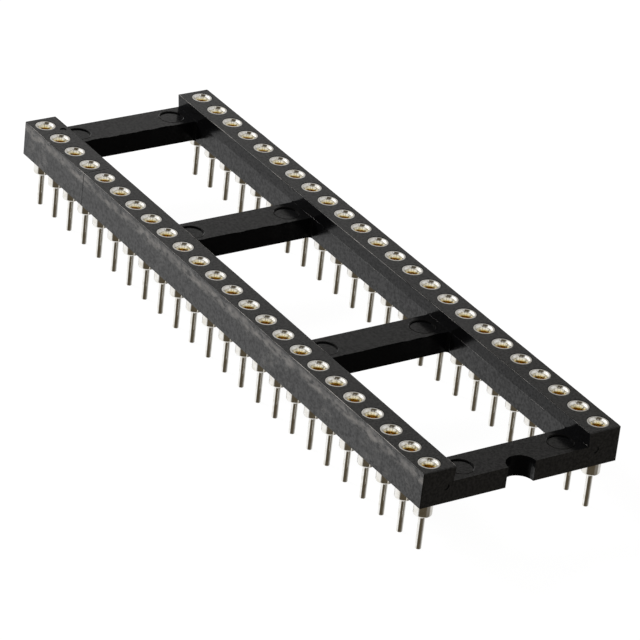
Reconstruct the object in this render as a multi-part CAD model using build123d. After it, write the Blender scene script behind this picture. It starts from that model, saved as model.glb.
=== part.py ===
"""Open-frame dual-in-line socket with two rows of turned, press-fitted contacts.

Millimetres. The origin is the centre of the contact pattern on the board's surface, which is the
plane of the contacts' shoulders. +X runs along the socket to its notched end, +Y to the row that
starts with contact 1, and +Z up. Contacts are counted away from the notch on the +Y row and back
towards it on the -Y row.
"""

import os
from math import cos, pi

from build123d import *

os.makedirs("parts", exist_ok=True)

# Contact pattern
contacts_per_row = 24
pitch = 2.54
row_spacing = 15.24

# Moulded frame: two rails joined by four lower bars
end_overhang = 1.24  # from the last contact's axis to the end face
outer_margin = 1.25  # from a row's axis to the rail's outer face
inner_margin = 1.50  # from a row's axis to the windows' long sides
standoff = 1.40  # from the board to the underside of the frame
rail_height = 2.98
bar_width = 3.02
bar_drop = 1.20  # from the top of the rails down to the top of the bars
inner_bar_pitches = 4  # from the middle of the socket to each inner bar
window_corner_radius = 0.30
inner_lean = 0.12  # how far the rails' inner faces lean in above the bars
corner_radius = 0.08
edge_radius = 0.055

# Polarity notch in the end bar
notch_radius = 1.25

# Witness marks that moulding leaves on the frame
ejector_radius = 1.00
ejector_depth = 0.09
ejector_inset = 1.59  # from a window's long side to the middle of the mark
gate_radius = 0.30
gate_depth = 0.06
gate_drop = 1.58  # from the top of the rails
gate_inset = 2.12  # from a rail's outer face
dimple_radius = 0.28
dimple_depth = 0.08
dimple_inset = 0.45  # from the window's long side
dimple_end_inset = 2.42  # from the plain end face

# Turned contact sleeve
head_radius = 0.85
head_height = 0.45
head_recess = 0.03  # from the top of the rail down to the head's rim
rim_land = 0.15
funnel_depth = 0.16
bore_radius = 0.56
bore_depth = 3.10  # from the rim down to the floor of the bore
barrel_radius = 0.72
shoulder_chamfer = 0.10
tail_radius = 0.25
tail_length = 3.00
tail_tip_radius = 0.20
tail_tip_height = 0.05
head_clearance = 0.03  # round the head in its counterbore

# Spring clip: a collar with a tapered throat, and four leaves that grip a lead
clip_sides = 8
clip_leaves = 4
clip_thickness = 0.06
clip_inset = 0.03  # from the foot of the funnel down to the collar
collar_height = 0.30
collar_lip = 0.03
throat_radius = 0.40
leaf_width = 0.28
leaf_drop = 1.40  # from the collar down to the line of grip
grip_radius = 0.18
leaf_flare = 0.07
flare_drop = 0.22
clips_per_file = 6

# Places that follow from the sizes
row_y = row_spacing / 2
last_x = (contacts_per_row - 1) * pitch / 2
end_x = last_x + end_overhang
outer_y = row_y + outer_margin
inner_y = row_y - inner_margin
rail_top = standoff + rail_height
bar_top = rail_top - bar_drop
rim_z = rail_top - head_recess
head_seat = rim_z - head_height
collar_top = rim_z - funnel_depth - clip_inset
inner_bar_x = inner_bar_pitches * pitch
end_bar_x = end_x - bar_width / 2
bar_xs = [-end_bar_x, -inner_bar_x, inner_bar_x, end_bar_x]


def contact_places():
    """The (x, y) of every contact, in the order in which contacts are counted."""
    xs = [last_x - i * pitch for i in range(contacts_per_row)]
    return [(x, row_y) for x in xs] + [(x, -row_y) for x in reversed(xs)]


def disc(radius, depth, x, y, top):
    """An upright cylinder that ends at the given height."""
    return Pos(x, y, top - depth) * extrude(Circle(radius), depth)


def frame_blank():
    """The slab with its windows, and the two rails that stand up from it."""
    plan = Rectangle(2 * end_x, 2 * outer_y)
    for left, right in zip(bar_xs, bar_xs[1:]):
        window = RectangleRounded(right - left - bar_width, 2 * inner_y, window_corner_radius)
        plan -= Pos((left + right) / 2, 0) * window
    frame = Pos(0, 0, standoff) * extrude(plan, bar_top - standoff)
    section = [(inner_y, bar_top), (outer_y, bar_top), (outer_y, rail_top), (inner_y - inner_lean, rail_top)]
    rail = extrude(Plane.YZ * make_face(Polyline(section, close=True)), end_x, both=True)
    return frame + rail + mirror(rail, Plane.XZ)


def soften_edges(frame):
    """Round the four upright corners and the edges round the top of each rail."""
    uprights = frame.edges().filter_by(Axis.Z)
    corners = uprights.filter_by(lambda e: abs(e.center().X) + abs(e.center().Y) > end_x + outer_y - 0.01)
    frame = fillet(corners, corner_radius)
    return fillet(frame.faces().sort_by(Axis.Z)[-2:].edges(), edge_radius)


def polarity_notch():
    """The round cutter for the half-moon in the end bar, seen from above."""
    return disc(notch_radius, bar_top - standoff, end_x, 0, bar_top)


def witness_marks():
    """Cutters for the ejector rings on the bars, the gate scars on one end and the rail's dimple."""
    dimple_x = dimple_end_inset - end_x
    marks = [disc(dimple_radius, dimple_depth, dimple_x, -inner_y - dimple_inset, rail_top)]
    scar = Rotation(0, 90, 0) * extrude(Circle(gate_radius), gate_depth, both=True)
    for side in (-1, 1):
        ejector_y = side * (inner_y - ejector_inset)
        marks += [disc(ejector_radius, ejector_depth, x, ejector_y, bar_top) for x in bar_xs]
        marks.append(Pos(end_x, side * (outer_y - gate_inset), rail_top - gate_drop) * scar)
    return marks


def contact_hole():
    """One stepped hole: a seat for the head and a press-fit bore for the barrel."""
    seat = disc(head_radius + head_clearance, rail_top - head_seat, 0, 0, rail_top)
    return seat + disc(barrel_radius, head_seat - standoff, 0, 0, head_seat)


def housing():
    """The one-piece moulded frame."""
    hole = contact_hole()
    frame = soften_edges(frame_blank()) - polarity_notch() - witness_marks()
    return frame - [Pos(x, y) * hole for x, y in contact_places()]


def contact_sleeve():
    """One turned sleeve, from the tip of its tail to the rim of its funnel."""
    outline = [
        (0, -tail_length),
        (tail_tip_radius, -tail_length),
        (tail_radius, tail_tip_height - tail_length),
        (tail_radius, 0),
        (barrel_radius - shoulder_chamfer, 0),
        (barrel_radius, shoulder_chamfer),
        (barrel_radius, head_seat),
        (head_radius, head_seat),
        (head_radius, rim_z),
        (head_radius - rim_land, rim_z),
        (bore_radius, rim_z - funnel_depth),
        (bore_radius, rim_z - bore_depth),
        (0, rim_z - bore_depth),
    ]
    return revolve(Plane.XZ * make_face(Polyline(outline, close=True)), Axis.Z)


def octagon(flat_radius, z):
    """A flat octagon at the given height, with flats that face the leaves."""
    turn = 180 / clip_sides
    return Pos(0, 0, z) * RegularPolygon(flat_radius, clip_sides, major_radius=False, rotation=turn)


def contact_clip():
    """One spring clip: leaves that lean in from the collar, meet the lead and flare at their tips."""
    flat_radius = bore_radius * cos(pi / clip_sides)
    collar_foot = collar_top - collar_height
    grip_z = collar_foot - leaf_drop
    tip_z = grip_z - flare_drop
    mouth = octagon(flat_radius - collar_lip, collar_top)
    throat = octagon(throat_radius, collar_foot)
    clip = extrude(octagon(flat_radius, collar_foot), collar_height) - loft([throat, mouth])
    side_view = [
        (throat_radius + clip_thickness, collar_foot),
        (grip_radius + clip_thickness, grip_z),
        (grip_radius + leaf_flare + clip_thickness, tip_z),
        (grip_radius + leaf_flare, tip_z),
        (grip_radius, grip_z),
        (throat_radius, collar_foot),
    ]
    leaf = extrude(Plane.XZ * make_face(Polyline(side_view, close=True)), leaf_width / 2, both=True)
    for i in range(clip_leaves):
        clip += Rotation(0, 0, i * 360 / clip_leaves) * leaf
    return clip


places = contact_places()
export_step(housing(), "parts/housing.step")

sleeve = contact_sleeve()
for number, (x, y) in enumerate(places, 1):
    export_step(Pos(x, y) * sleeve, f"parts/contact_sleeve_{number:02d}.step")

clip = contact_clip()
for first in range(0, len(places), clips_per_file):
    group = places[first : first + clips_per_file]
    name = f"contact_clips_{first + 1:02d}_{first + len(group):02d}"
    export_step(Compound(children=[Pos(x, y) * clip for x, y in group]), f"parts/{name}.step")
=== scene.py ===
"""An open-frame dual-in-line socket with turned contacts, dressed for a studio picture.

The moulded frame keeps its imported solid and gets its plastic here. Each turned sleeve and each
spring clip is made again with the roundings and the rolled lips that its solid leaves out. The
flash along the frame's edges and the burrs round its ejector marks are added. Lengths in the
classes are in millimetres and heights count from the board. Meshes are made in metres, in the
frame's own axes.
"""

import logging
import math
import random
from dataclasses import dataclass
from enum import Enum

import bpy
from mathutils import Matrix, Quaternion, Vector

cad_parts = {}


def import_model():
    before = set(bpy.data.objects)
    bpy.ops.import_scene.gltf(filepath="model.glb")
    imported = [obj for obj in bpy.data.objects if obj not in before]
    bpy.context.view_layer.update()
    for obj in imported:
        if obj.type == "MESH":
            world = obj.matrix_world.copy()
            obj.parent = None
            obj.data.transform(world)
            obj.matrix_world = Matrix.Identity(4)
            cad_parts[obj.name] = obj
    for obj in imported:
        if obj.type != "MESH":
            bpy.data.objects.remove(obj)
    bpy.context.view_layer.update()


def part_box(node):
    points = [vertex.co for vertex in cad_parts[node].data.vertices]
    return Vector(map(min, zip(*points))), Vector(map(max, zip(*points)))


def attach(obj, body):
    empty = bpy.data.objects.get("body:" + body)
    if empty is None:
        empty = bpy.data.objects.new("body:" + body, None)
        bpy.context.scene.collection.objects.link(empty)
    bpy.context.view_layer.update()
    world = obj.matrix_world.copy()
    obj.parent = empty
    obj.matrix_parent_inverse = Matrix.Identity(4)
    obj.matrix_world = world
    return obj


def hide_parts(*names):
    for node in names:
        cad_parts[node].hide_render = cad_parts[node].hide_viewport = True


MM = 0.001
LOG = logging.getLogger("dip socket")

Triple = tuple[float, float, float]
Colour = Triple
Span = tuple[float, float]
Point = tuple[float, float]
Outline = list[Point]
Socket = bpy.types.NodeSocket
Number = float | Socket

WHITE: Colour = (1.0, 1.0, 1.0)
UNSTRETCHED: Triple = (1.0, 1.0, 1.0)
NOISE_BODY: Span = (0.3, 0.7)  # where nearly all of a noise texture's values lie
BAR_MIDDLES = (-28.94, -10.16, 10.16, 28.94)


class Slot(Enum):
    """Names of material slots."""

    FRAME = "frame_plastic"
    SLEEVE = "tinned_sleeve"
    CLIP = "gilt_clip"


class EdgeKind(Enum):
    """Where a line of moulding flash runs."""

    OUTER_TOP = "outer_top"
    OUTER_SEAM = "outer_seam"
    INNER_TOP = "inner_top"
    PARTING = "parting"


class MixKind(Enum):
    """What a Mix node mixes: its data type, the numbers of its inputs and of its result."""

    NUMBER = ("FLOAT", (0, 2, 3), 0)
    COLOUR = ("RGBA", (0, 6, 7), 2)


@dataclass(frozen=True)
class Noise:
    """The grain of a noise texture: features per metre, finer layers, and a factor by axis."""

    scale: float
    detail: float
    stretch: Triple = UNSTRETCHED


class Graph:
    """The node tree of one material or of the world."""

    def __init__(self, tree: bpy.types.NodeTree) -> None:
        """Keeps the tree that gets the nodes."""
        self.tree = tree

    def add(self, kind: str, inputs: dict | None = None, **settings: object) -> bpy.types.Node:
        """Adds a node.

        Args:
            kind: The node's type name without "ShaderNode".
            inputs: Values or output sockets for its input sockets, by name or number.
            **settings: The node's own properties.

        Returns:
            The new node.
        """
        node = self.tree.nodes.new("ShaderNode" + kind)
        for name, value in settings.items():
            setattr(node, name, value)
        for key, value in (inputs or {}).items():
            self.put(node.inputs[key], value)
        return node

    def put(self, socket: Socket, value: object) -> None:
        """Gives an input socket a value, or joins an output socket to it.

        Args:
            socket: The input socket.
            value: A number, a colour, a vector or an output socket.
        """
        if isinstance(value, Socket):
            self.tree.links.new(value, socket)
        else:
            socket.default_value = value

    def math(self, operation: str, *values: Number) -> Socket:
        """The result of a Math node on the given numbers."""
        return self.add("Math", dict(enumerate(values)), operation=operation).outputs[0]

    def chain(self, operation: str, *values: Number) -> Number:
        """Joins several numbers with one operation.

        Args:
            operation: The operation, such as ADD.
            *values: The numbers, in order.

        Returns:
            The result.
        """
        result = values[0]
        for value in values[1:]:
            result = self.math(operation, result, value)
        return result

    def product(self, *values: Number) -> Number:
        """The product of several numbers."""
        return self.chain("MULTIPLY", *values)

    def total(self, *values: Number) -> Number:
        """The sum of several numbers."""
        return self.chain("ADD", *values)

    def distance(self, value: Number, middle: float) -> Socket:
        """How far a value is from a middle."""
        return self.math("ABSOLUTE", self.math("SUBTRACT", value, middle))

    def ramp(self, value: Number, span: Span, start: float = 0.0, end: float = 1.0) -> Socket:
        """Adds a smooth step from one number to another.

        Args:
            value: What is compared with the span.
            span: The values at which the step begins and is over.
            start: The result before the step.
            end: The result after it.

        Returns:
            The result's socket.
        """
        low, high = span
        inputs = {"Value": value, "From Min": low, "From Max": high, "To Min": start, "To Max": end}
        node = self.add("MapRange", inputs, interpolation_type="SMOOTHSTEP")
        return node.outputs["Result"]

    def split(self, vector: Socket) -> bpy.types.NodeOutputs:
        """The outputs X, Y and Z of a node that takes a vector apart."""
        return self.add("SeparateXYZ", {0: vector}).outputs

    def mix(self, kind: MixKind, share: Number, first: object, second: object) -> Socket:
        """Adds a Mix node.

        Args:
            kind: What it mixes.
            share: How much of the second there is, from 0 to 1, or more to overshoot it.
            first: The number or colour at 0.
            second: The number or colour at 1.

        Returns:
            The result's socket.
        """
        data_type, places, result = kind.value
        inputs = dict(zip(places, (share, first, second)))
        return self.add("Mix", inputs, data_type=data_type, clamp_factor=False).outputs[result]

    def between(self, share: Number, first: Number, second: Number) -> Socket:
        """A number that goes from the first to the second as the share goes from 0 to 1."""
        return self.mix(MixKind.NUMBER, share, first, second)

    def blend(self, share: Number, first: Colour | Socket, second: Colour) -> Socket:
        """A colour that goes from the first to the second as the share goes from 0 to 1."""
        start = first if isinstance(first, Socket) else (*first, 1.0)
        return self.mix(MixKind.COLOUR, share, start, (*second, 1.0))


class Surface(Graph):
    """A material with one Principled shader."""

    def __init__(self, name: str) -> None:
        """Makes the material and finds its shader.

        Args:
            name: The material's name.
        """
        self.material = bpy.data.materials.new(name)
        self.material.use_nodes = True
        super().__init__(self.material.node_tree)
        self.shader = self.tree.nodes["Principled BSDF"]
        self.place = self.add("TexCoord").outputs["Object"]

    def set(self, **values: object) -> None:
        """Sets the shader's sockets; an underscore in a name stands for a space."""
        for name, value in values.items():
            self.put(self.shader.inputs[name.replace("_", " ")], value)

    def noise(self, grain: Noise) -> Socket:
        """Adds a noise texture.

        Args:
            grain: Its scale, detail and stretch.

        Returns:
            The socket of its value, from 0 to 1.
        """
        place = self.place
        if grain.stretch != UNSTRETCHED:
            place = self.add("Mapping", {"Vector": place, "Scale": grain.stretch}).outputs["Vector"]
        inputs = {"Vector": place, "Scale": grain.scale, "Detail": grain.detail}
        return self.add("TexNoise", inputs).outputs["Fac"]

    def bump(self, *layers: tuple[Number, float]) -> None:
        """Adds relief to the shader.

        Args:
            *layers: For each, a height from 0 to 1 and the depth in millimetres it stands for.
        """
        normal = None
        for height, depth in layers:
            inputs = {"Height": height, "Distance": depth * MM, "Strength": 1.0}
            if normal is not None:
                inputs["Normal"] = normal
            normal = self.add("Bump", inputs).outputs["Normal"]
        self.set(Normal=normal)


@dataclass(frozen=True)
class MouldedPolyester:
    """Black glass-filled polyester as it comes from the mould.

    The outer sides have pale scuffs below the top edge, and a knit line crosses one rail where two
    flows of plastic met. Inside the windows each kind of face has a lower specular level of its
    own, which paints the shade that falls there.
    """

    name: str = "moulded_black_polyester"
    colour: Colour = (0.003, 0.003, 0.0033)
    roughness: float = 0.17
    grain: Noise = Noise(4500.0, 4.0)
    grain_depth: float = 0.003
    swell: Noise = Noise(900.0, 2.0)
    swell_depth: float = 0.004
    swell_roughness: float = 0.05

    # Scuffs: a band under the top edge and fainter patches below it
    scuff: Colour = (0.21, 0.20, 0.19)
    scuff_roughness: float = 0.5
    side_from: Span = (8.85, 8.87)
    band_height: float = 3.80
    band_reach: Span = (0.1, 0.60)
    streaks: Noise = Noise(2600.0, 5.0, (0.42, 1.0, 0.8))
    clouds: Noise = Noise(520.0, 2.0)
    band_streaks: Span = (0.34, 0.64)
    band_clouds: Span = (0.24, 0.58)
    patch_streaks: Span = (0.34, 0.70)
    patch_clouds: Span = (0.54, 0.74)
    patch_share: float = 0.36

    # Specular levels, and where one gives way to the next; the low levels inside are painted shade
    gloss: float = 0.44
    bar_top_gloss: float = 0.25
    bar_side_gloss: float = 0.04
    lower_wall_shade_gloss: float = 0.31
    upper_wall_shade_gloss: float = 0.115
    inner_to: Span = (6.13, 6.14)
    end_from: Span = (30.40, 30.42)
    rail_top_from: Span = (4.35, 4.37)
    parting_from: Span = (3.19, 3.21)
    facing_up: Span = (0.3, 0.6)
    facing_across: Span = (0.955, 0.99)
    speckles: Noise = Noise(4800.0, 3.0)
    speckle: float = 0.40

    # Knit line
    knit_x: float = -20.32
    knit_edge: Span = (0.021, 0.07)
    knit_fade: Span = (-6.8, -6.5)
    knit_depth: float = 0.03
    knit_roughness: float = 0.4

    def scuffs(self, surface: Surface, across: Socket, z: Socket) -> Number:
        """Where the outer sides are scuffed.

        Args:
            surface: The material that is being made.
            across: The distance from the frame's long middle line, in millimetres.
            z: The height above the board.

        Returns:
            The scuffs' strength, from 0 to 1.
        """
        side = surface.ramp(across, self.side_from)
        off = surface.distance(z, self.band_height)
        streaks, clouds = surface.noise(self.streaks), surface.noise(self.clouds)
        band = surface.product(
            surface.ramp(streaks, self.band_streaks),
            surface.ramp(clouds, self.band_clouds),
            surface.ramp(off, self.band_reach, 1.0, 0.0),
        )
        patches = surface.product(
            surface.ramp(clouds, self.patch_clouds),
            surface.ramp(streaks, self.patch_streaks),
            self.patch_share,
        )
        return surface.product(side, surface.math("MAXIMUM", band, patches))

    def sheen_and_painted_shade(self, surface: Surface, along: Socket, across: Socket, z: Socket) -> Number:
        """How each face of the plastic shines; the low levels inside the windows are painted shade.

        Args:
            surface: The material that is being made.
            along: The distance from the frame's short middle line, in millimetres.
            across: The distance from its long middle line.
            z: The height above the board.

        Returns:
            The shader's specular level.
        """
        limits = (across, self.inner_to), (along, self.end_from), (z, self.rail_top_from)
        inside = surface.product(*(surface.ramp(place, span, 1.0, 0.0) for place, span in limits))
        normal = surface.split(surface.add("NewGeometry").outputs["True Normal"])
        up = surface.ramp(normal["Z"], self.facing_up)
        facing_rail = surface.ramp(surface.math("ABSOLUTE", normal["Y"]), self.facing_across)
        # Painted shade: bar tops, bar sides and window walls get lower specular levels, so they
        # read darker
        upper = surface.ramp(z, self.parting_from)
        wall = surface.between(upper, self.lower_wall_shade_gloss, self.upper_wall_shade_gloss)
        upright = surface.between(facing_rail, self.bar_side_gloss, wall)
        inner = surface.between(up, upright, self.bar_top_gloss)
        speckles = surface.noise(self.speckles)
        speckle = surface.ramp(speckles, NOISE_BODY, 1.0 - self.speckle, 1.0 + self.speckle)
        return surface.product(surface.between(inside, self.gloss, inner), speckle)

    def build(self) -> bpy.types.Material:
        """Makes the material.

        Returns:
            The material.
        """
        surface = Surface(self.name)
        axes = surface.split(surface.place)
        x, y, z = (surface.product(axes[axis], 1 / MM) for axis in "XYZ")
        along, across = surface.math("ABSOLUTE", x), surface.math("ABSOLUTE", y)
        scuffs = self.scuffs(surface, across, z)
        knit = surface.product(
            surface.ramp(y, self.knit_fade, 1.0, 0.0),
            surface.ramp(surface.distance(x, self.knit_x), self.knit_edge, 1.0, 0.0),
        )
        kept = surface.math("SUBTRACT", 1.0, knit)
        swell = surface.noise(self.swell)
        rough = surface.total(
            surface.ramp(swell, NOISE_BODY, 0.0, self.swell_roughness),
            self.roughness,
            surface.product(scuffs, self.scuff_roughness),
            surface.product(knit, self.knit_roughness),
        )
        surface.set(
            Base_Color=surface.blend(surface.product(scuffs, kept), self.colour, self.scuff),
            Specular_IOR_Level=self.sheen_and_painted_shade(surface, along, across, z),
            Roughness=rough,
        )
        grain = surface.noise(self.grain)
        surface.bump((grain, self.grain_depth), (swell, self.swell_depth), (kept, self.knit_depth))
        return surface.material


@dataclass(frozen=True)
class WornFlashWithPaintedHighlight:
    """The mould's thin burr where its halves meet: worn, with pale streaks of painted edge
    highlight.
    """

    name: str = "scuffed_moulding_flash"
    dark: Colour = (0.05, 0.05, 0.05)
    pale: Colour = (0.36, 0.34, 0.32)
    wear_and_highlight: Noise = Noise(1500.0, 4.0, (0.25, 1.0, 1.0))
    wear_and_highlight_span: Span = (0.38, 0.68)
    roughness: Span = (0.35, 0.55)
    grain: Noise = Noise(20000.0, 2.0)
    grain_depth: float = 0.002

    def build(self) -> bpy.types.Material:
        """Makes the material.

        Returns:
            The material.
        """
        surface = Surface(self.name)
        wear_and_highlight = surface.noise(self.wear_and_highlight)
        # Painted highlight: the pale streaks stand in for the light caught along the frame's edges
        surface.set(
            Base_Color=surface.blend(surface.ramp(wear_and_highlight, self.wear_and_highlight_span), self.dark, self.pale),
            Roughness=surface.ramp(wear_and_highlight, NOISE_BODY, *self.roughness),
        )
        surface.bump((surface.noise(self.grain), self.grain_depth))
        return surface.material


@dataclass(frozen=True)
class PlatedMetal:
    """A thin bright plate over turned or rolled metal.

    Its marks run round the upright axis. Where a shade colour is given, the plate takes it below
    the heights of the fade, as painted shade low inside the clip.
    """

    name: str
    bright: Colour
    dull: Colour
    roughness: float
    mark_pitch: float
    mark_depth: float
    deep_shade: Colour | None = None
    deep_shade_fade: Span = (3.93, 4.08)
    mark_stretch: Triple = (0.02, 0.02, 1.0)
    mark_detail: float = 3.0
    mark_share: float = 0.5  # of the marks in the uneven roughness; the stains have the rest
    roughness_factors: Span = (0.75, 1.35)
    stains: Noise = Noise(2600.0, 4.0)
    stain_span: Span = (0.35, 0.75)
    pits: Noise = Noise(16000.0, 3.0)
    pit_share: float = 0.4  # of the marks' depth

    def build(self) -> bpy.types.Material:
        """Makes the material.

        Returns:
            The material.
        """
        surface = Surface(self.name)
        scale = 1 / (self.mark_pitch * MM)
        rings = surface.noise(Noise(scale, self.mark_detail, self.mark_stretch))
        stains = surface.noise(self.stains)
        colour = surface.blend(surface.ramp(stains, self.stain_span), self.bright, self.dull)
        # Painted shade: below the fade the plate takes a darker, more saturated gold for the shaded
        # bore
        if self.deep_shade is not None:
            low, high = (height * MM for height in self.deep_shade_fade)
            depth = surface.ramp(surface.split(surface.place)["Z"], (low, high), 1.0, 0.0)
            colour = surface.blend(depth, colour, self.deep_shade)
        uneven = surface.total(
            surface.product(rings, self.mark_share),
            surface.product(stains, 1 - self.mark_share),
        )
        least, most = (self.roughness * factor for factor in self.roughness_factors)
        surface.set(
            Metallic=1.0,
            Base_Color=colour,
            Roughness=surface.ramp(uneven, NOISE_BODY, least, most),
        )
        pit_depth = self.mark_depth * self.pit_share
        surface.bump((rings, self.mark_depth), (surface.noise(self.pits), pit_depth))
        return surface.material


TIN = PlatedMetal(
    name="bright_tin_plate",
    bright=(0.91, 0.90, 0.87),
    dull=(0.76, 0.73, 0.66),
    roughness=0.11,
    mark_pitch=0.10,
    mark_depth=0.0008,
)
GOLD = PlatedMetal(
    name="gold_plate",
    bright=(0.93, 0.90, 0.80),
    dull=(0.90, 0.82, 0.58),
    roughness=0.20,
    mark_pitch=0.16,
    mark_depth=0.0010,
    # Painted shade: the darker gold low in the clip
    deep_shade=(0.83, 0.61, 0.14),
)


def arc(middle: Point, radius: float, start: float, end: float, steps: int) -> Outline:
    """Points along a round stretch of an outline.

    Args:
        middle: The middle of the round stretch.
        radius: Its radius.
        start: The angle of its first point, in degrees.
        end: The angle of its last point.
        steps: How many straight stretches stand for it.

    Returns:
        The points, both ends included.
    """
    angles = [math.radians(start + (end - start) * i / steps) for i in range(steps + 1)]
    return [(middle[0] + radius * math.cos(a), middle[1] + radius * math.sin(a)) for a in angles]


def turned(axis: Point, radius: float, angle: float, height: float) -> Triple:
    """A point at some radius and angle round an upright axis.

    Args:
        axis: Where the axis stands.
        radius: The distance from it.
        angle: The direction from it, in radians.
        height: The point's height.

    Returns:
        The point.
    """
    return axis[0] + radius * math.cos(angle), axis[1] + radius * math.sin(angle), height


def direction(azimuth: float, elevation: float) -> Vector:
    """The unit vector from the socket towards a place in the studio.

    Args:
        azimuth: Its angle round the socket from +X, in degrees.
        elevation: Its angle above the horizon, in degrees.

    Returns:
        The vector.
    """
    across, up = math.radians(azimuth), math.radians(elevation)
    level = math.cos(up)
    return Vector((math.cos(across) * level, math.sin(across) * level, math.sin(up)))


def finish_mesh(
    name: str, points: list, faces: list, material: bpy.types.Material, sharp: float = 40.0
) -> bpy.types.Mesh:
    """Makes a smooth-shaded mesh from points in millimetres.

    Args:
        name: The mesh's name.
        points: Its vertices.
        faces: The vertex numbers of each face.
        material: Its finish.
        sharp: Edges that turn by more than this many degrees stay sharp.

    Returns:
        The mesh, in metres.
    """
    mesh = bpy.data.meshes.new(name)
    mesh.from_pydata([Vector(p) * MM for p in points], [], faces)
    mesh.materials.append(material)
    mesh.shade_smooth()
    mesh.set_sharp_from_angle(angle=math.radians(sharp))
    mesh.validate()
    return mesh


def place_piece(mesh: bpy.types.Mesh, slot: Slot, *nodes: str) -> bpy.types.Object:
    """Puts a mesh in the scene as a piece of the socket, under the mesh's name.

    Args:
        mesh: Its mesh, in the frame's axes.
        slot: Not used.
        *nodes: The solids that it stands for.

    Returns:
        The new object.
    """
    piece = bpy.data.objects.new(mesh.name, mesh)
    bpy.context.scene.collection.objects.link(piece)
    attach(piece, "root")
    if nodes:
        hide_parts(*nodes)
    return piece


@dataclass
class TurnedSleeve:
    """One contact sleeve, turned from rod: a solder tail, a shoulder, a barrel and a funnel mouth.

    tail_end holds points of the tail's blunt end, as insets from its radius and rises above its
    tip. funnel_foot does the same for the foot of the funnel, outwards from the bore.
    """

    tail_radius: float = 0.25
    tail_end: tuple[Point, ...] = ((0.06, 0), (0.05, 0.004), (0.008, 0.04), (0, 0.06), (0, 0.10))
    neck_radius: float = 0.32
    neck_height: float = 0.38
    neck_curve: float = 1.6
    neck_steps: int = 6
    barrel_radius: float = 0.72
    shoulder_rounding: float = 0.13
    shoulder_steps: int = 8
    head_radius: float = 0.85
    head_height: float = 0.45
    head_rounding: float = 0.016
    head_steps: int = 5
    mouth_radius: float = 0.70
    mouth_rounding: float = 0.010
    mouth_steps: int = 4
    funnel_depth: float = 0.16
    funnel_foot: tuple[Point, ...] = ((0.01, 0.012), (0, -0.01))
    bore_radius: float = 0.56
    bore_depth: float = 3.10
    sides: int = 56

    def tail(self, tip: float) -> Outline:
        """The outline from the tail's blunt end up to the shoulder's underside.

        Args:
            tip: The height of the tail's end.

        Returns:
            Radii and heights.
        """
        line = [(0, tip)]
        line += [(self.tail_radius - inset, tip + rise) for inset, rise in self.tail_end]
        for i in range(self.neck_steps + 1):
            share = i / self.neck_steps
            bulge = (self.neck_radius - self.tail_radius) * share**self.neck_curve
            line.append((self.tail_radius + bulge, -self.neck_height * (1 - share)))
        return line

    def shoulder(self, seat: float) -> Outline:
        """The outline of the shoulder and the barrel.

        Args:
            seat: The height of the head's underside.

        Returns:
            Radii and heights.
        """
        middle = (self.barrel_radius - self.shoulder_rounding, self.shoulder_rounding)
        edge = arc(middle, self.shoulder_rounding, -90, 0, self.shoulder_steps)
        return [*edge, (self.barrel_radius, seat)]

    def mouth(self, rim: float) -> Outline:
        """The outline of the head and the inside of the sleeve.

        Args:
            rim: The height of the head's rim.

        Returns:
            Radii and heights.
        """
        head, lip = self.head_rounding, self.mouth_rounding
        slope = math.degrees(math.atan2(self.funnel_depth, self.mouth_radius - self.bore_radius))
        foot, floor = rim - self.funnel_depth, rim - self.bore_depth
        return [
            (self.head_radius, rim - self.head_height),
            *arc((self.head_radius - head, rim - head), head, 0, 90, self.head_steps),
            *arc((self.mouth_radius + lip, rim - lip), lip, 90, 180 - slope / 2, self.mouth_steps),
            *((self.bore_radius + out, foot + rise) for out, rise in self.funnel_foot),
            (self.bore_radius, floor),
            (0, floor),
        ]

    def build(
        self, name: str, axis: Point, heights: Span, turn: float, material: bpy.types.Material
    ) -> bpy.types.Mesh:
        """Makes the sleeve's mesh.

        Args:
            name: The mesh's name.
            axis: Where the contact's axis stands, in millimetres.
            heights: The heights of the tail's end and of the head's rim.
            turn: How far it is turned about its axis, in radians.
            material: Its finish.

        Returns:
            The mesh.
        """
        tip, rim = heights
        outline = [*self.tail(tip), *self.shoulder(rim - self.head_height), *self.mouth(rim)]
        points, rows = [], []
        for radius, height in outline:
            sides = self.sides if radius else 1
            rows.append(range(len(points), len(points) + sides))
            angles = (turn + math.tau * i / sides for i in range(sides))
            points += [turned(axis, radius, angle, height) for angle in angles]
        faces = []
        for low, high in zip(rows, rows[1:]):
            for i in range(self.sides):
                j = (i + 1) % self.sides
                if len(low) == 1:
                    faces.append((low[0], high[j], high[i]))
                elif len(high) == 1:
                    faces.append((low[i], low[j], high[0]))
                else:
                    faces.append((low[i], low[j], high[j], high[i]))
        return finish_mesh(name, points, faces, material)


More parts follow.
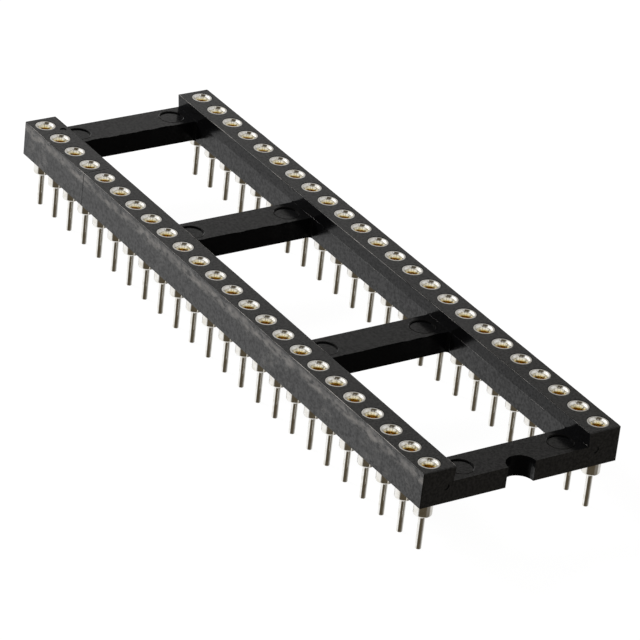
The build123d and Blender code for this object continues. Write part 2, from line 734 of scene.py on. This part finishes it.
@dataclass
class SpringClip:
    """A rolled clip: a collar with a tapered mouth, and leaves that lean in to grip a lead."""

    outer_radius: float = 0.555
    mouth_radius: float = 0.535
    throat_radius: float = 0.42
    collar_height: float = 0.30
    collar_steps: int = 40
    lip_steps: int = 4
    seam: float = 0.03
    taper_height: float = 0.23
    taper_shares: tuple[float, ...] = (0.3, 0.6, 0.85, 0.95, 1.0)
    taper_ease: float = 0.05  # how much the taper bends upright where it meets the throat
    taper_power: int = 12
    thickness: float = 0.05
    leaves: int = 4
    leaf_share: float = 0.86  # of the collar's round, at the leaves' roots
    leaf_bow: float = 0.35
    leaf_drop: float = 1.40
    leaf_rows: int = 8
    leaf_steps: int = 6
    tip_share: float = 0.402162  # of the root's width, at a leaf's tip
    grip_radius: float = 0.18
    leaf_flare: float = 0.07
    flare_drop: float = 0.22

    def wall(self) -> Outline:
        """The leaf's middle line.

        Returns:
            Radii, and heights that count from the collar's foot.
        """
        start = self.throat_radius + self.thickness / 2
        grip = self.grip_radius + self.thickness / 2
        line = []
        for i in range(self.leaf_rows + 1):
            share = i / self.leaf_rows
            bowed = share * share * (3 - 2 * share)
            eased = bowed * self.leaf_bow + share * (1 - self.leaf_bow)
            line.append((start + (grip - start) * eased, -self.leaf_drop * share))
        return [*line, (grip + self.leaf_flare, -self.leaf_drop - self.flare_drop)]

    def build(
        self,
        name: str,
        places: list[Point],
        top: float,
        turns: list[float],
        material: bpy.types.Material,
    ) -> bpy.types.Mesh:
        """Makes one mesh of several clips.

        Args:
            name: The mesh's name.
            places: Where each contact's axis stands, in millimetres.
            top: The height of the collars' lips.
            turns: How far each clip is turned, in radians.
            material: Its finish.

        Returns:
            The mesh.
        """
        points: list = []
        faces: list = []
        foot = top - self.collar_height
        for axis, turn in zip(places, turns):
            self.add_collar(points, faces, axis, top, turn)
            for leaf in range(self.leaves):
                angle = turn + math.tau * leaf / self.leaves
                self.add_leaf(points, faces, axis, foot, angle)
        return finish_mesh(name, points, faces, material)

    def add_collar(
        self, points: list, faces: list, axis: Point, top: float, turn: float
    ) -> None:
        """Adds a collar: a band with a rounded lip, open at its rolled seam.

        Args:
            points: The mesh's vertices so far.
            faces: The mesh's faces so far.
            axis: Where the contact's axis stands.
            top: The height of the lip.
            turn: The direction of the seam.
        """
        foot = top - self.collar_height
        lip = (self.outer_radius - self.mouth_radius) / 2
        section = [(self.outer_radius, foot)]
        section += arc((self.outer_radius - lip, top - lip), lip, 0, 180, self.lip_steps)
        for share in self.taper_shares:
            eased = (1 + self.taper_ease) * share - self.taper_ease * share**self.taper_power
            radius = self.mouth_radius - (self.mouth_radius - self.throat_radius) * eased
            section.append((radius, top - lip - (self.taper_height - lip) * share))
        section.append((self.throat_radius, foot))
        gap = self.seam / self.outer_radius
        base, ring, steps = len(points), len(section), self.collar_steps
        for i in range(steps + 1):
            angle = turn + gap / 2 + (math.tau - gap) * i / steps
            points += [turned(axis, radius, angle, height) for radius, height in section]
        for i in range(steps):
            low, high = base + i * ring, base + (i + 1) * ring
            for j in range(ring):
                k = (j + 1) % ring
                faces.append((low + j, low + k, high + k, high + j))
        faces.append(tuple(range(base, base + ring)))
        faces.append(tuple(reversed(range(base + steps * ring, base + (steps + 1) * ring))))

    def add_leaf(
        self, points: list, faces: list, axis: Point, top: float, turn: float
    ) -> None:
        """Adds one leaf, curved across as the collar is.

        Args:
            points: The mesh's vertices so far.
            faces: The mesh's faces so far.
            axis: Where the contact's axis stands.
            top: The height of the leaf's root.
            turn: The direction of the leaf.
        """
        line, steps = self.wall(), self.leaf_steps
        last = len(line) - 1
        root_half = math.pi / self.leaves * self.leaf_share
        root_width = 2 * root_half * line[0][0]
        base = len(points)
        for row, (radius, drop) in enumerate(line):
            width = root_width * (1 - row / last * (1 - self.tip_share))
            half = min(width / 2 / radius, root_half)
            angles = [turn + half * (2 * i / steps - 1) for i in range(steps + 1)]
            for skin in (radius + self.thickness / 2, radius - self.thickness / 2):
                points += [turned(axis, skin, angle, top + drop) for angle in angles]
        ring = 2 * (steps + 1)
        loop = [*range(steps + 1), *reversed(range(steps + 1, ring))]
        for row in range(last):
            low, high = base + row * ring, base + (row + 1) * ring
            for a, b in zip(loop, loop[1:] + loop[:1]):
                faces.append((low + a, low + b, high + b, high + a))
        faces.append(tuple(base + i for i in reversed(loop)))
        faces.append(tuple(base + last * ring + i for i in loop))


@dataclass
class MouldingFlash:
    """A thin uneven burr along an edge of the frame."""

    width: float = 0.035
    height: float = 0.035
    step: float = 0.35
    raggedness: float = 0.28  # the most that its thickness changes from one step to the next
    first_swell: float = 0.5
    least_swell: float = 0.15
    sharp: float = 80.0
    seed: int = 7

    def build(
        self, name: str, start: Vector, end: Vector, out: Vector, material: bpy.types.Material
    ) -> bpy.types.Mesh:
        """Makes one burr.

        Args:
            name: The mesh's name.
            start: Its first point, in millimetres.
            end: Its last point.
            out: The direction in which it stands out.
            material: Its finish.

        Returns:
            The mesh.
        """
        chance = random.Random(f"{self.seed}{name}")
        along = end - start
        count = int(along.length / self.step)
        cross = along.normalized().cross(out)
        points: list = []
        swell = self.first_swell
        for i in range(count + 1):
            change = chance.uniform(-self.raggedness, self.raggedness)
            swell = min(1.0, max(self.least_swell, swell + change))
            middle = start + along * i / count
            reach, thick = out * self.width * swell, cross * self.height * swell
            points += [middle - reach / 2 - thick, middle + reach / 2, middle - reach / 2 + thick]
        last = 3 * count
        faces = []
        for a, b in zip(range(0, last, 3), range(3, last + 3, 3)):
            faces += [(a, a + 1, b + 1, b), (a + 1, a + 2, b + 2, b + 1), (a + 2, a, b, b + 2)]
        faces += [(0, 2, 1), (last, last + 1, last + 2)]
        return finish_mesh(name, points, faces, material, self.sharp)


@dataclass
class EjectorRims:
    """Low round burrs that the ejector pins leave on the bars, sunk a little into them."""

    radius: float = 1.00
    width: float = 0.12
    height: float = 0.022
    bed: float = 0.008
    bar_top: float = 3.18
    from_middle: float = 4.53
    sides: int = 64
    sharp: float = 20.0

    def build(self, name: str, material: bpy.types.Material) -> bpy.types.Object:
        """Makes all the rims as one piece.

        Args:
            name: The piece's name.
            material: Its finish.

        Returns:
            The new piece.
        """
        foot, ridge = self.bar_top - self.bed, self.bar_top + self.height
        outer = self.radius + self.width
        section = [(self.radius, foot), (self.radius + self.width / 2, ridge), (outer, foot)]
        points: list = []
        faces: list = []
        for mark in ((x, side * self.from_middle) for x in BAR_MIDDLES for side in (-1, 1)):
            base = len(points)
            for i in range(self.sides):
                angle = math.tau * i / self.sides
                points += [turned(mark, radius, angle, height) for radius, height in section]
                a, b = base + 3 * i, base + 3 * ((i + 1) % self.sides)
                faces += [(a + j, b + j, b + (j + 1) % 3, a + (j + 1) % 3) for j in range(3)]
        return place_piece(finish_mesh(name, points, faces, material, self.sharp), Slot.FRAME)


@dataclass
class ContactRows:
    """All the contacts of the socket: sleeves with clips, made from where the solids stand."""

    sleeve: TurnedSleeve
    clip: SpringClip
    count: int = 48
    clips_per_node: int = 6
    clip_inset: float = 0.03
    seed: int = 11

    def build(self, tin: bpy.types.Material, gold: bpy.types.Material) -> list[bpy.types.Object]:
        """Makes every sleeve and clip.

        Args:
            tin: The sleeves' finish.
            gold: The clips' finish.

        Returns:
            The new pieces.
        """
        chance = random.Random(self.seed)
        pieces, places, turns, rims = [], [], [], []
        for number in range(1, self.count + 1):
            low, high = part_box(f"contact_sleeve_{number:02d}")
            centre, heights = (low + high) / 2 / MM, (low.z / MM, high.z / MM)
            axis, turn = (centre.x, centre.y), chance.uniform(0, math.tau)
            mesh = self.sleeve.build(f"turned_sleeve_{number:02d}", axis, heights, turn, tin)
            pieces.append(place_piece(mesh, Slot.SLEEVE, f"contact_sleeve_{number:02d}"))
            places.append(axis)
            turns.append(chance.uniform(0, math.tau))
            rims.append(heights[1])
        for first in range(0, self.count, self.clips_per_node):
            last = first + self.clips_per_node
            tag = f"{first + 1:02d}_{last:02d}"
            top = rims[first] - self.sleeve.funnel_depth - self.clip_inset
            group = places[first:last], top, turns[first:last]
            mesh = self.clip.build(f"spring_clips_{tag}", *group, gold)
            pieces.append(place_piece(mesh, Slot.CLIP, f"contact_clips_{tag}"))
        return pieces


@dataclass
class MouldedFrame:
    """The moulded frame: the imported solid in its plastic, with the flash along its edges."""

    flash: MouldingFlash
    bar_flash: MouldingFlash
    rail_width: float = 2.87
    inner_lean: float = 0.12
    parting_drop: float = 1.20
    seam_drop: float = 0.13
    edge_inset: float = 0.016  # of the flash on a rounded edge, each way from its corner
    face_inset: float = 0.008  # of the flash on a flat face, into it
    end_gap: float = 0.2
    bar_width: float = 3.02
    bar_flash_inset: float = 0.01
    bar_flash_gap: float = 0.15

    def build(
        self, plastic: bpy.types.Material, burr: bpy.types.Material
    ) -> list[bpy.types.Object]:
        """Dresses the frame's solid and adds its flash.

        Args:
            plastic: The finish of the frame and of the flash on its bars.
            burr: The finish of the flash along its rails, whose pale streaks are painted highlight.

        Returns:
            The frame and its flash.
        """
        frame = bpy.data.objects["housing"]
        frame.data.materials.clear()
        frame.data.materials.append(plastic)
        low, high = (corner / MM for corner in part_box("housing"))
        inner = high.y - self.rail_width
        parting = high.z - self.parting_drop
        edge, face = self.edge_inset, self.face_inset
        lines = {
            EdgeKind.OUTER_TOP: (high.y - edge, high.z - edge, 1),
            EdgeKind.OUTER_SEAM: (high.y - face, high.z - self.seam_drop, 1),
            EdgeKind.INNER_TOP: (inner + edge, high.z - edge, -1),
            EdgeKind.PARTING: (inner + self.inner_lean + face, parting, -1),
        }
        pieces = [frame]
        for kind, (y, z, lean) in lines.items():
            for side, label in ((-1, "near"), (1, "far")):
                start = Vector((low.x + self.end_gap, side * y, z))
                end = Vector((high.x - self.end_gap, side * y, z))
                name, out = f"flash_{kind.value}_{label}", Vector((0, side * lean, 0))
                mesh = self.flash.build(name, start, end, out, burr)
                pieces.append(place_piece(mesh, Slot.FRAME))
        reach = inner + self.inner_lean - self.bar_flash_gap
        for number, middle in enumerate(BAR_MIDDLES[:-1], 1):
            x = middle + self.bar_width / 2 - self.bar_flash_inset
            start, end = Vector((x, -reach, parting)), Vector((x, reach, parting))
            up = Vector((0, 0, 1))
            mesh = self.bar_flash.build(f"flash_bar_{number}", start, end, up, plastic)
            pieces.append(place_piece(mesh, Slot.FRAME))
        return pieces


@dataclass(frozen=True)
class Panel:
    """A soft bright stretch of the studio, seen from the socket.

    The angles are in degrees. It is at its full radiance within inner of its middle, and dark
    beyond outer.
    """

    azimuth: float
    elevation: float
    inner: float
    outer: float
    radiance: float


@dataclass(frozen=True)
class Lamp:
    """A soft square lamp that faces the socket and is kept out of reflections."""

    name: str = "soft_key"
    azimuth: float = -147.0
    elevation: float = 34.0
    distance: float = 500.0
    size: float = 140.0
    watts: float = 1.6

    def build(self) -> None:
        """Adds the lamp to the scene."""
        data = bpy.data.lights.new(self.name, "AREA")
        data.size, data.energy = self.size * MM, self.watts
        lamp = bpy.data.objects.new(self.name, data)
        towards = direction(self.azimuth, self.elevation)
        lamp.location = towards * self.distance * MM
        lamp.rotation_mode = "QUATERNION"
        lamp.rotation_quaternion = (-towards).to_track_quat("-Z", "Y")
        lamp.visible_glossy = False
        bpy.context.scene.collection.objects.link(lamp)


@dataclass(frozen=True)
class LongLens:
    """The camera, at the photograph's place, roll and angle of view."""

    lens: float = 217.61
    sensor_width: float = 36.0
    clip: Span = (0.01, 10.0)  # in metres
    azimuth: float = -35.258
    elevation: float = 28.733
    roll: float = 6.564
    distance: float = 308.27
    aim: Triple = (1.071, 1.156, -0.278)

    def build(self) -> None:
        """Adds the camera to the scene and makes it the scene's own."""
        data = bpy.data.cameras.new("camera")
        data.lens, data.sensor_width = self.lens, self.sensor_width
        data.clip_start, data.clip_end = self.clip
        camera = bpy.data.objects.new("camera", data)
        back = direction(self.azimuth, self.elevation)
        camera.location = (Vector(self.aim) + back * self.distance) * MM
        camera.rotation_mode = "QUATERNION"
        level = (-back).to_track_quat("-Z", "Y")
        camera.rotation_quaternion = level @ Quaternion((0, 0, 1), math.radians(self.roll))
        bpy.context.scene.collection.objects.link(camera)
        bpy.context.scene.camera = camera


@dataclass
class Studio:
    """A white studio: soft panels all round, a pale floor, one lamp and a long lens."""

    lamp: Lamp
    camera: LongLens
    panels: tuple[Panel, ...] = (
        Panel(-150, -35, 42, 58, 0.97),
        Panel(140, -12, 32, 40, 0.72),
        Panel(173, -3, 16, 26, 1.25),
        Panel(-162, 12, 13, 20, 1.2),
        Panel(-112, 40, 14, 22, 1.1),
        Panel(154, 24, 4, 22, 0.51),
        Panel(100, -27, 26, 44, 0.62),
        Panel(35, -28, 12, 26, 0.11),
        Panel(-35, -78, 24, 34, 0.8),
        Panel(-35, 16, 16, 26, 0.85),
        Panel(-80, 16, 16, 26, 0.85),
        Panel(-122, 8, 16, 26, 0.85),
        Panel(10, 16, 16, 26, 0.75),
        Panel(52, 8, 16, 26, 0.7),
        Panel(88, 16, 18, 28, 0.62),
        Panel(45, 42, 18, 26, 0.62),
        Panel(2, 50, 8, 12, 0.75),
        Panel(-142, 29, 13, 19, 1.5),
    )
    dark: Colour = (0.085, 0.070, 0.047)
    floor_height: float = -3.0
    floor_size: float = 4000.0
    floor_colour: Colour = (0.9, 0.9, 0.9)
    floor_glow: float = 1.09
    shadow_share: float = 0.12

    def build_world(self) -> None:
        """Makes the surroundings: white to the camera, panels to everything else."""
        world = bpy.data.worlds.new("studio")
        bpy.context.scene.world = world
        world.use_nodes = True
        graph = Graph(world.node_tree)
        background = graph.tree.nodes["Background"]
        towards = graph.add("TexCoord").outputs["Generated"]
        brightest: Number = 0.0
        for panel in self.panels:
            inputs = {0: towards, 1: direction(panel.azimuth, panel.elevation)}
            near = graph.add("VectorMath", inputs, operation="DOT_PRODUCT").outputs["Value"]
            edges = math.cos(math.radians(panel.outer)), math.cos(math.radians(panel.inner))
            glow = graph.ramp(near, edges, 0.0, panel.radiance)
            brightest = graph.math("MAXIMUM", brightest, glow)
        graph.put(background.inputs["Color"], graph.blend(brightest, self.dark, WHITE))
        white = graph.add("Background", {"Color": (*WHITE, 1.0), "Strength": 1.0})
        seen = graph.add("LightPath").outputs["Is Camera Ray"]
        shaders = {0: seen, 1: background.outputs[0], 2: white.outputs[0]}
        mixed = graph.add("MixShader", shaders).outputs[0]
        graph.put(graph.tree.nodes["World Output"].inputs["Surface"], mixed)

    def build_floor(self) -> None:
        """Makes the pale floor, which keeps a faint shadow."""
        half, z = self.floor_size / 2, self.floor_height
        corners = [(-half, -half, z), (half, -half, z), (half, half, z), (-half, half, z)]
        material = bpy.data.materials.new("pale_floor")
        material.use_nodes = True
        graph = Graph(material.node_tree)
        graph.tree.nodes.remove(graph.tree.nodes["Principled BSDF"])
        glow = graph.add("Emission", {"Color": (*WHITE, 1.0), "Strength": self.floor_glow})
        matt = graph.add("BsdfDiffuse", {"Color": (*self.floor_colour, 1.0)})
        shaders = {0: self.shadow_share, 1: glow.outputs[0], 2: matt.outputs[0]}
        lit = graph.add("MixShader", shaders).outputs[0]
        graph.put(graph.tree.nodes["Material Output"].inputs["Surface"], lit)
        mesh = finish_mesh("floor", corners, [(0, 1, 2, 3)], material)
        floor = bpy.data.objects.new("floor", mesh)
        bpy.context.scene.collection.objects.link(floor)
        floor.visible_glossy = False
        floor.visible_diffuse = False

    def build(self) -> None:
        """Makes the whole studio."""
        bpy.context.scene.view_settings.view_transform = "Standard"
        self.build_world()
        self.build_floor()
        self.lamp.build()
        self.camera.build()


def main() -> None:
    """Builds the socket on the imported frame, then the studio round it."""
    logging.basicConfig(level=logging.INFO, format="%(name)s: %(message)s")
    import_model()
    bar_flash = MouldingFlash(width=0.13, height=0.03, step=0.16, raggedness=0.5)
    frame = MouldedFrame(MouldingFlash(), bar_flash)
    contacts = ContactRows(TurnedSleeve(), SpringClip())
    plastic = MouldedPolyester().build()
    pieces = frame.build(plastic, WornFlashWithPaintedHighlight().build())
    pieces.append(EjectorRims().build("ejector_rims", plastic))
    pieces += contacts.build(TIN.build(), GOLD.build())
    for piece in pieces:
        LOG.info("%s has %d faces", piece.name, len(piece.data.polygons))
    Studio(Lamp(), LongLens()).build()


if __name__ == "__main__":
    main()
